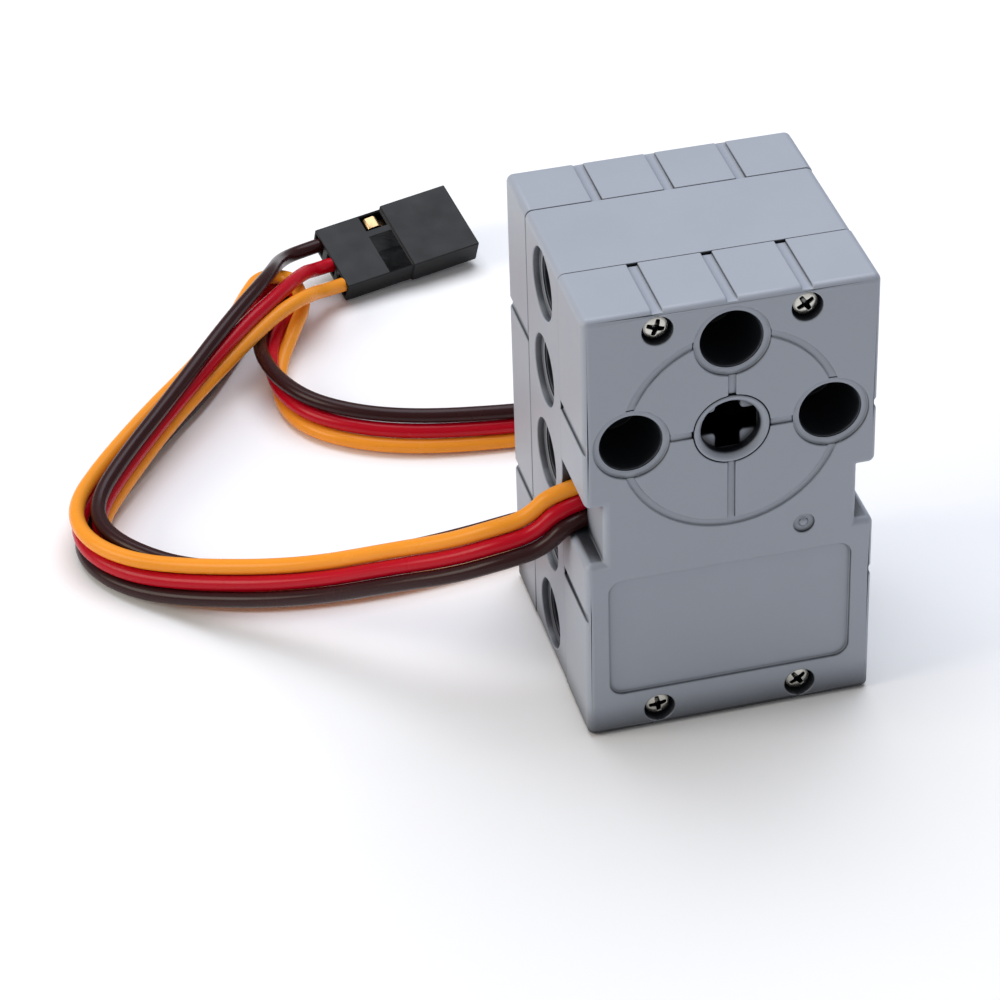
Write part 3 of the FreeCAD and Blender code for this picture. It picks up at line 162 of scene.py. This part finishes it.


# Painted shade: the grey is painted towards near-black inside bores, screw holes, seams and the notch, where
# walls hide the light.
shell_plastic = grained("moulded_grey_abs", "#9FA5B0", "#999FAA", (0.38, 0.46), SHELL_GRAIN, 0.012 * MM,
                        SHELL_MOTTLE, painted_shade=("#22252B", 6 * MM), IOR=1.53)
eased("front_cover_shell", "front_cover", "housing", shell_plastic, SHELL_EASE,
      [(FRONT_SEAM, -FRONT_HAIR)])
eased("middle_frame_shell", "mid_frame", "housing", shell_plastic, SHELL_EASE,
      [(FRONT_SEAM, FRONT_HAIR), (REAR_SEAM, -REAR_HAIR)])
eased("rear_cover_shell", "rear_cover", "housing", shell_plastic, SHELL_EASE,
      [(REAR_SEAM, REAR_HAIR)])

# Screws: small pan heads with a cross recess, cold formed in steel and nickel plated.
# They are driven into the frame's columns, and each stops at a turn of its own.
HEAD_RADIUS = 1.05 * MM
HEAD_HEIGHT = 0.8 * MM
HEAD_CROWN = 0.16 * MM
CROWN_SHARE = 0.9
SHANK_RADIUS = 0.65 * MM
POINT_SHARE = 0.3
CROSS_DEPTH = 0.5 * MM
CROSS_REACH = 0.74 * MM
CROSS_HALF = 0.17 * MM
ARM_ROOT, ARM_TAPER = 1.35, 0.45
SIDE_FADE, TIP_FADE = 0.07 * MM, 0.16 * MM
GRID_MERGE = 0.00001 * MM
SCREW_X = 5.9 * MM
SCREW_LOW, SCREW_HIGH = 1.8 * MM, 37.8 * MM
FRONT_SEAT, REAR_SEAT = -11.1 * MM, 11.1 * MM
FRONT_REACH, REAR_REACH = 8.8 * MM, 7.8 * MM


def mesh_of(name, grids):
    """One mesh from grids of points: rows follow a profile, columns go once round, four points a quad."""
    corners, quads, start = [], [], 0
    for grid in grids:
        rows, columns = grid.shape[:2]
        row, column = np.meshgrid(np.arange(rows - 1), np.arange(columns), indexing="ij")
        beside = (column + 1) % columns
        quad = np.stack([row * columns + column, row * columns + beside, (row + 1) * columns + beside,
                         (row + 1) * columns + column], axis=-1)
        quads.append(quad.reshape(-1, 4) + start)
        corners.append(grid.reshape(-1, 3))
        start += rows * columns
    mesh = bpy.data.meshes.new(name)
    mesh.from_pydata(np.concatenate(corners), [], np.concatenate(quads))
    form = bmesh.new()
    form.from_mesh(mesh)
    bmesh.ops.remove_doubles(form, verts=form.verts, dist=GRID_MERGE)
    bmesh.ops.recalc_face_normals(form, faces=form.faces)
    form.to_mesh(mesh)
    form.free()
    mesh.shade_smooth()
    return mesh


def screw_grid(x, y, z, turn, facing, reach):
    """Crown falling with the square of the radius, then a quarter-round rim, the head's side and the shank.
    A cross presses the crown in by CROSS_DEPTH times clip((half width - aside) / SIDE_FADE, 0, 1) times
    clip((CROSS_REACH - along) / TIP_FADE, 0, 1). The head looks along facing on Y."""
    round_angle = np.linspace(0, 2 * np.pi, 112, endpoint=False)
    crown = np.linspace(0, HEAD_RADIUS * CROWN_SHARE, 34)
    bend = np.linspace(0.15, 1, 6) * np.pi / 2
    rim_round = HEAD_RADIUS * (1 - CROWN_SHARE)
    rim_radius = HEAD_RADIUS * CROWN_SHARE + rim_round * np.sin(bend)
    rim_depth = HEAD_CROWN * CROWN_SHARE ** 2 + rim_round * (1 - np.cos(bend))
    radius = np.concatenate([crown, rim_radius,
                             [HEAD_RADIUS, SHANK_RADIUS, SHANK_RADIUS, SHANK_RADIUS * POINT_SHARE, 0]])
    depth = np.concatenate([HEAD_CROWN * (crown / HEAD_RADIUS) ** 2, rim_depth,
                            [HEAD_HEIGHT, HEAD_HEIGHT, reach - SHANK_RADIUS, reach, reach]])
    across = radius[:, None] * np.cos(round_angle)
    up = radius[:, None] * np.sin(round_angle)
    press = np.zeros_like(across)
    for along, aside in ((across, up), (up, across)):
        half_width = CROSS_HALF * (ARM_ROOT - ARM_TAPER * np.abs(along) / CROSS_REACH)
        side = np.clip((half_width - np.abs(aside)) / SIDE_FADE, 0, 1)
        tip = np.clip((CROSS_REACH - np.abs(along)) / TIP_FADE, 0, 1)
        press = np.maximum(press, side * tip)
    on_crown = (np.arange(len(radius)) < len(crown))[:, None]
    sunk = depth[:, None] + np.where(on_crown, press * CROSS_DEPTH, 0)
    c, s = math.cos(turn), math.sin(turn)
    return np.stack([x + across * c - up * s, y - facing * sunk, z + across * s + up * c], axis=-1)


# Painted shade: the plating is painted near-black down in the cross recess and in the narrow gap round the
# head, where walls hide the light.
nickel = grained("nickel_plated_steel", "#D9D6CE", "#C9C6BE", (0.20, 0.30), 0.12 * MM, 0.003 * MM, 0.5 * MM,
                 painted_shade=("#16161A", 0.7 * MM), metallic=1.0)
# The turns are read off the heads that can be seen.
front_turns = {(-1, 0): 0.15, (1, 0): 0.62, (-1, 1): 1.25, (1, 1): 0.55}
rear_turns = {(-1, 0): 0.9, (1, 0): 0.3, (-1, 1): 0.05, (1, 1): 1.1}
for name, node, seat, facing, reach, turns in (
        ("front_screw_set", "front_screws", FRONT_SEAT, -1, FRONT_REACH, front_turns),
        ("rear_screw_set", "rear_screws", REAR_SEAT, 1, REAR_REACH, rear_turns)):
    grids = [screw_grid(side * SCREW_X, seat, (SCREW_LOW, SCREW_HIGH)[level], turn, facing, reach)
             for (side, level), turn in turns.items()]
    screws = show(name, mesh_of(name, grids), nickel)
    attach(screws, "housing")
    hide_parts(node)

# Output hub: a sleeve of the same grey plastic, flush with the face, with a round mouth and a cross
# socket behind it. It is turned by the last gear and runs in two bronze bushes.
# Painted shade: the hub's grey is painted dark in its mouth, its cross socket and the gap round the sleeve,
# where walls hide the light.
hub_plastic = grained("moulded_grey_hub", "#9DA3AE", "#979DA8", (0.36, 0.44), SHELL_GRAIN, 0.010 * MM,
                      4.0 * MM, painted_shade=("#1E2026", 5 * MM), IOR=1.53)
eased("output_sleeve", "output_hub", "output", hub_plastic, 0.14 * MM)


def dress(node, material):
    """Gives a node's object a better material, in every slot."""
    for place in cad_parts[node].material_slots:
        place.material = material


bearing_bronze = grained("turned_bronze", "#B98A4E", "#A97B44", (0.28, 0.40), 0.2 * MM, 0.004 * MM, 1.5 * MM,
                         metallic=1.0)
dress("front_bush", bearing_bronze)
dress("rear_bush", bearing_bronze)

# Gear train: a brass pinion on the motor, two double gears on steel pins and the output gear,
# all moulded in natural acetal, which looks like milk glass with a soft sheen.
acetal = grained("natural_acetal", "#E9E7DE", "#DEDBD0", (0.32, 0.42), 0.25 * MM, 0.006 * MM, 3.0 * MM,
                 IOR=1.48, Subsurface_Weight=0.08, Subsurface_Scale=0.4 * MM)
for node in ("output_gear", "first_gear", "second_gear"):
    dress(node, acetal)
ground_steel = grained("ground_steel", "#B9BABD", "#A8A9AD", (0.18, 0.30), 0.1 * MM, 0.003 * MM, 1.0 * MM,
                       metallic=1.0)
for node in ("first_gear_pin", "second_gear_pin", "motor_shaft"):
    dress(node, ground_steel)
pinion_brass = grained("cut_brass", "#D1AC62", "#C29C55", (0.22, 0.34), 0.1 * MM, 0.004 * MM, 0.8 * MM,
                       metallic=1.0)
dress("motor_pinion", pinion_brass)

# Motor: a drawn steel can with a black end cap, two sintered magnets and a copper winding.
# The can is nickel plated over drawing lines, and the magnets have a dull sandy grain.
dress("motor_can", grained("drawn_plated_can", "#C6C6C4", "#B4B4B2", (0.24, 0.38), 0.3 * MM, 0.006 * MM,
                           2.5 * MM, metallic=1.0))
cap_nylon = grained("black_nylon_cap", "#1B1B1C", "#161617", (0.42, 0.52), 0.15 * MM, 0.01 * MM, 2.0 * MM)
dress("motor_end_cap", cap_nylon)
dress("motor_magnets", grained("sintered_ferrite", "#3B3B3D", "#313133", (0.6, 0.75), 0.12 * MM, 0.02 * MM,
                               1.2 * MM))
winding, winding_tree, winding_shader = coating("enamelled_copper_wire", "#B4622E", 0.3, metallic=0.9)
winding_place = add(winding_tree, "ShaderNodeTexCoord").outputs["Object"]
# At a scale of 0.314 the wave repeats once a unit, so this makes one wave for each turn of wire.
WINDING_GAUGE = 0.15 * MM
wraps = add(winding_tree, "ShaderNodeTexWave", {"Vector": winding_place, "Scale": 0.314 / WINDING_GAUGE,
                                                "Distortion": 1.2}, bands_direction="Y")
relief = add(winding_tree, "ShaderNodeBump", {"Height": wraps.outputs["Fac"], "Strength": 0.6,
                                              "Distance": 0.04 * MM})
winding_tree.links.new(relief.outputs["Normal"], winding_shader.inputs["Normal"])
dress("motor_armature", winding)
tinned = grained("tinned_brass", "#C9B98F", "#B8A87E", (0.26, 0.40), 0.15 * MM, 0.004 * MM, 0.8 * MM,
                 metallic=1.0)
dress("motor_terminals", tinned)

# Position sensor: a pressed tin case round a brass wiper disc, with three legs and three thin leads.
# It sits behind the output gear, on the tip of the hub's shaft.
dress("sensor_case", grained("pressed_tin_case", "#C2C4C6", "#B0B2B5", (0.28, 0.42), 0.25 * MM, 0.006 * MM,
                             2.0 * MM, metallic=1.0))
dress("sensor_rotor", pinion_brass)
dress("sensor_terminals", tinned)
dress("sensor_leads", grained("thin_white_insulation", "#E4E2DC", "#D9D6CF", (0.30, 0.40), 0.4 * MM,
                              0.008 * MM, 3.0 * MM))

# Control board: glass-epoxy under green solder resist, with moulded chips, a drawn capacitor and
# fired resistors, all soldered flat. The resist shows the weave and the tracks as faint relief.
resist, resist_tree, resist_shader = coating("green_solder_resist", "#1E5A34", 0.25, IOR=1.55,
                                             Coat_Weight=0.4, Coat_Roughness=0.15)
board_place = add(resist_tree, "ShaderNodeTexCoord").outputs["Object"]
flat_place = add(resist_tree, "ShaderNodeMapping", {"Vector": board_place, "Rotation": (math.pi / 2, 0, 0)})
tracks = add(resist_tree, "ShaderNodeTexBrick", {
    "Vector": flat_place.outputs["Vector"], "Scale": 1 / (4.0 * MM), "Mortar Size": 0.06,
    "Color1": linear("#1E5A34"), "Color2": linear("#1B5230"), "Mortar": linear("#3A8350")})
resist_tree.links.new(tracks.outputs["Color"], resist_shader.inputs["Base Color"])
resist_relief = add(resist_tree, "ShaderNodeBump", {"Height": tracks.outputs["Fac"], "Strength": 0.5,
                                                    "Distance": 0.03 * MM})
resist_tree.links.new(resist_relief.outputs["Normal"], resist_shader.inputs["Normal"])
dress("control_board", resist)
chip_epoxy = grained("moulded_chip_epoxy", "#232324", "#1D1D1E", (0.5, 0.62), 0.1 * MM, 0.01 * MM, 1.0 * MM)
for node in ("control_chip", "driver_chip", "board_resistors"):
    dress(node, chip_epoxy)
dress("board_capacitor", grained("drawn_aluminium", "#C9CBCE", "#BABCC0", (0.22, 0.34), 0.2 * MM, 0.004 * MM,
                                 1.5 * MM, metallic=1.0))
dress("lead_gland", grained("soft_black_rubber", "#1A1A1A", "#151515", (0.6, 0.75), 0.2 * MM, 0.02 * MM,
                            1.5 * MM))

# Lead: three stranded wires in soft PVC, brown, red and orange, pressed side by side into one flat
# ribbon that leaves the left notch, folds back on itself beyond the loop and fans out at the plug.
# PVC is extruded smooth, so it is glossy, with a slow unevenness along its length.
WIRE_DIAMETER = 1.36 * MM
WIRE_PITCH = 1.38 * MM
EXIT_CORNER = np.array([-11.8, -5.45, 19.65])
LEAD_CORNER = np.array([-11.8, 11.6, 0.0])
# Route of the middle wire, in millimetres from its corner: x, y, z and lean in degrees. At lean 0 orange
# is above brown, and at 90 it is on the left.
exit_route = np.array([(5.2, 0.0, 0.0, 0), (-0.3, -0.1, -0.75, -40)])
lead_route = np.array([
    (-2.4, -16.7, 16.3, -38), (-5.6, -16.1, 15.3, -34), (-8.8, -14.1, 13.35, -34),
    (-12.4, -11.1, 11.2, -35), (-19.5, -4, 5.9, -35), (-28, 2.7, 2.9, -28),
    (-32.8, 6.5, 2.2, -12), (-35.5, 10.8, 2.15, 0), (-35.5, 15.6, 2.1, 8), (-32.3, 20.7, 2.05, 20),
    (-26.4, 28.3, 2.1, 25), (-21.2, 34.4, 2.1, 20), (-16.8, 40.8, 2.1, 8), (-14.3, 45.2, 2.1, 15),
    (-13, 47.6, 2.35, -1), (-10.9, 47.9, 2.1, -13), (-9.7, 46.5, 2.2, -7), (-10, 44.5, 2.1, 12),
    (-10.6, 43.2, 2.1, 55), (-12.9, 39.7, 2.4, 100), (-14.5, 35.6, 2.2, 141), (-14.6, 29.8, 2.1, 182),
    (-12, 24.7, 2.1, 203), (-5.4, 20.6, 2.1, 208), (4.8, 18.7, 2.1, 195), (14.8, 18.2, 2.1, 180),
    (21.8, 16.2, 2.1, 180), (24.2, 11, 2.1, 180), (21.4, 5.8, 2.1, 180), (14.4, 3.8, 2.1, 175),
    (4.7, 3.4, 2.1, 165), (-7.4, 1, 2.1, 150), (-19.4, 1.1, 2.1, 160), (-27.4, 3.7, 2.1, 168),
    (-31.6, 7.7, 2.15, 178), (-33.8, 11.7, 2.2, 180), (-33.6, 15.6, 2.5, 180), (-30.5, 20.2, 3.2, 180),
    (-24.6, 28, 3.9, 175), (-17.1, 36, 5.6, 208)])
fans = {"brown": [(-12.7, 42.3, 7.2), (-10.5, 49.4, 4.2)], "red": [(-12.1, 40.9, 5.9), (-9.1, 45.3, 4.9)],
        "orange": [(-12.5, 39.3, 4.9), (-9.2, 41.7, 4.7)]}
PLUG_CORNER = LEAD_CORNER + np.array([-4.9, 46.5, 0.05])
PIN_PITCH = 2.54
PLUG_WIDTH, PLUG_HEIGHT = 3 * PIN_PITCH, PIN_PITCH
ENTRY_START, ENTRY_END = -1.4, 3.2
yaw, pitch, roll = np.radians([14.2, -1.8, 23.3])
turn_z = np.array([[np.cos(yaw), -np.sin(yaw), 0], [np.sin(yaw), np.cos(yaw), 0], [0, 0, 1]])
turn_y = np.array([[np.cos(pitch), 0, np.sin(pitch)], [0, 1, 0], [-np.sin(pitch), 0, np.cos(pitch)]])
turn_x = np.array([[1, 0, 0], [0, np.cos(roll), -np.sin(roll)], [0, np.sin(roll), np.cos(roll)]])
plug_turn = turn_z @ turn_y @ turn_x
sides = {"brown": -1, "red": 0, "orange": 1}


def beside(middle, lean, offset):
    """Each point plus offset * (up * cos(lean) + left * sin(lean)), with both square to the run."""
    after = np.vstack([middle[1:], middle[-1:]])
    before = np.vstack([middle[:1], middle[:-1]])
    travel = after - before
    travel /= np.linalg.norm(travel, axis=1)[:, None]
    left = np.cross([0, 0, 1], travel)
    left /= np.linalg.norm(left, axis=1)[:, None]
    up = np.cross(travel, left)
    angle = np.radians(lean)[:, None]
    return middle + (up * np.cos(angle) + left * np.sin(angle)) * offset


def in_plug(points):
    """Points of the plug's own box, set where the plug lies, in millimetres."""
    return PLUG_CORNER + np.asarray(points, float) @ plug_turn.T


def pvc(name, light, dark):
    """Extruded PVC: a clear gloss, a slow change of tone and shallow waves from the extruder."""
    return grained(name, light, dark, (0.22, 0.30), 2.2 * MM, 0.05 * MM, 6.0 * MM, strength=0.25, IOR=1.5,
                   Specular_IOR_Level=0.2, Subsurface_Weight=0.04, Subsurface_Scale=0.5 * MM)


insulation = {"brown": pvc("brown_pvc", "#351718", "#2C1314"), "red": pvc("red_pvc", "#BE0420", "#B0031B"),
              "orange": pvc("orange_pvc", "#F59C30", "#EE9326")}
middle = np.vstack([EXIT_CORNER + exit_route[:, :3], LEAD_CORNER + lead_route[:, :3]])
lean = np.concatenate([exit_route[:, 3], lead_route[:, 3]])
for colour in ("brown", "red", "orange"):
    entry = [(along, PLUG_WIDTH / 2 - sides[colour] * PIN_PITCH, PLUG_HEIGHT / 2)
             for along in (ENTRY_START, ENTRY_END)]
    points = np.vstack([beside(middle, lean, sides[colour] * WIRE_PITCH / MM),
                        LEAD_CORNER + np.array(fans[colour]), in_plug(entry)]) * MM
    curve = bpy.data.curves.new(colour + "_wire_run", "CURVE")
    curve.dimensions = "3D"
    spline = curve.splines.new("NURBS")
    spline.points.add(len(points) - 1)
    spline.points.foreach_set("co", np.column_stack([points, np.ones(len(points))]).ravel())
    spline.order_u = 3
    spline.use_endpoint_u = True
    spline.resolution_u = 10
    curve.bevel_depth = WIRE_DIAMETER / 2
    curve.bevel_resolution = 5
    curve.use_fill_caps = True
    curve.materials.append(insulation[colour])
    wire = put(colour + "_wire_run", curve)
    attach(wire, "housing")
    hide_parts(colour + "_wire")

# Plug: a black nylon housing for three pins, moulded with a stepped tail, three open channels and
# three windows where a pressed bronze tongue of each contact springs up against the plastic.
plug_nylon = grained("black_moulded_nylon", "#141516", "#101112", (0.48, 0.58), 0.16 * MM, 0.014 * MM,
                     2.5 * MM, IOR=1.53, Specular_IOR_Level=0.3)
housing = eased("plug_body", "plug_housing", "housing", plug_nylon, 0.12 * MM)
STRIP_WIDTH = 1.25
STRIP_THICKNESS = 0.18


def tongue_grid(lane):
    """A pressed strip: a path that rises, runs level and dips, in the plug's millimetres along and up, plus
    and minus its normal times half the strip's thickness."""
    path = np.array([(3.3, 0.95), (4.55, 1.0), (4.8, 1.35), (4.95, 1.95), (5.1, 2.1), (5.9, 2.16),
                     (6.12, 2.08), (6.25, 1.8), (6.35, 1.4), (6.6, 1.2), (12.6, 1.2)])
    away = np.gradient(path, axis=0)
    away /= np.linalg.norm(away, axis=1)[:, None]
    normal = np.stack([-away[:, 1], away[:, 0]], axis=1) * STRIP_THICKNESS / 2
    upper, lower = path + normal, path - normal
    middle_y = PLUG_WIDTH / 2 + lane * PIN_PITCH
    near, far = middle_y - STRIP_WIDTH / 2, middle_y + STRIP_WIDTH / 2
    body = np.stack([np.stack([edge[:, 0], np.full(len(edge), y), edge[:, 1]], axis=-1)
                     for edge, y in ((upper, near), (upper, far), (lower, far), (lower, near))], axis=1)
    start, end = (np.tile(body[n].mean(axis=0), (1, 4, 1)) for n in (0, -1))
    return in_plug(np.concatenate([start, body, end])) * MM


contact_bronze = grained("pressed_phosphor_bronze", "#B59A72", "#A78C66", (0.24, 0.36), 0.12 * MM, 0.004 * MM,
                         0.8 * MM, metallic=1.0)
strips = show("contact_strips", mesh_of("contact_strips", [tongue_grid(lane) for lane in (-1, 0, 1)]),
              contact_bronze)
strip_edges = strips.modifiers.new("edges", "BEVEL")
strip_edges.width = 0.04 * MM
strip_edges.segments = 2
strip_edges.limit_method = "ANGLE"
strips.modifiers.new("flat faces", "WEIGHTED_NORMAL")
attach(strips, "housing")
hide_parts("plug_contacts")

# Studio: a pale sheet under soft light from above and behind, and the camera where the photograph
# was taken, in front, a little to the left and well above.
FLOOR_REACH = 2.0
FLOOR_HEIGHT = -0.03 * MM
floor_mesh = bpy.data.meshes.new("studio_floor")
floor_mesh.from_pydata([(x * FLOOR_REACH, y * FLOOR_REACH, FLOOR_HEIGHT)
                        for x, y in ((-1, -1), (1, -1), (1, 1), (-1, 1))], [], [(0, 1, 2, 3)])
show("studio_floor", floor_mesh, coating("white_card", "#FBFBFB", 0.9)[0])

world = bpy.data.worlds.new("studio_air")
bpy.context.scene.world = world
world.use_nodes = True
background = world.node_tree.nodes["Background"]
background.inputs["Color"].default_value = linear("#F7F8FA")
background.inputs["Strength"].default_value = 0.34


def softbox(name, place, target, size, power, colour):
    """An area light at a place that faces a target."""
    lamp = bpy.data.lights.new(name, "AREA")
    lamp.shape = "RECTANGLE"
    lamp.size, lamp.size_y = size
    lamp.energy = power
    lamp.color = linear(colour)[:3]
    light = put(name, lamp)
    aim = np.array(target) - np.array(place)
    back = -aim / np.linalg.norm(aim)
    right = np.cross([0, 1, 0.001], back)
    right /= np.linalg.norm(right)
    up = np.cross(back, right)
    matrix = np.eye(4)
    matrix[:3, 0], matrix[:3, 1], matrix[:3, 2], matrix[:3, 3] = right, up, back, place
    light.matrix_world = Matrix(matrix)


softbox("overhead_box", (0.05, 0.20, 0.58), (-0.01, 0.02, 0), (0.60, 0.50), 3.4, "#F1F5FF")
softbox("left_box", (-0.55, 0.0, 0.30), (0, 0, 0.02), (0.30, 0.30), 1.5, "#FFF6E6")

CAMERA_AIM = np.array([-16.271, -2.0, 17.867]) * MM
CAMERA_DISTANCE = 294.902 * MM
azimuth, elevation, bank = np.radians([12.989, 35.344, -2.046])
back = np.array([-np.sin(azimuth) * np.cos(elevation), -np.cos(azimuth) * np.cos(elevation),
                 np.sin(elevation)])
level = np.cross(-back, [0, 0, 1])
level /= np.linalg.norm(level)
upright = np.cross(level, -back)
camera_data = bpy.data.cameras.new("photo_camera")
camera_data.sensor_width = 36
camera_data.lens = 133.37
camera_data.clip_start, camera_data.clip_end = 0.01, 20
camera = put("photo_camera", camera_data)
pose = np.eye(4)
pose[:3, 0] = np.cos(bank) * level + np.sin(bank) * upright
pose[:3, 1] = -np.sin(bank) * level + np.cos(bank) * upright
pose[:3, 2] = back
pose[:3, 3] = CAMERA_AIM + back * CAMERA_DISTANCE
camera.matrix_world = Matrix(pose)
bpy.context.scene.camera = camera
bpy.context.scene.view_settings.view_transform = "Standard"
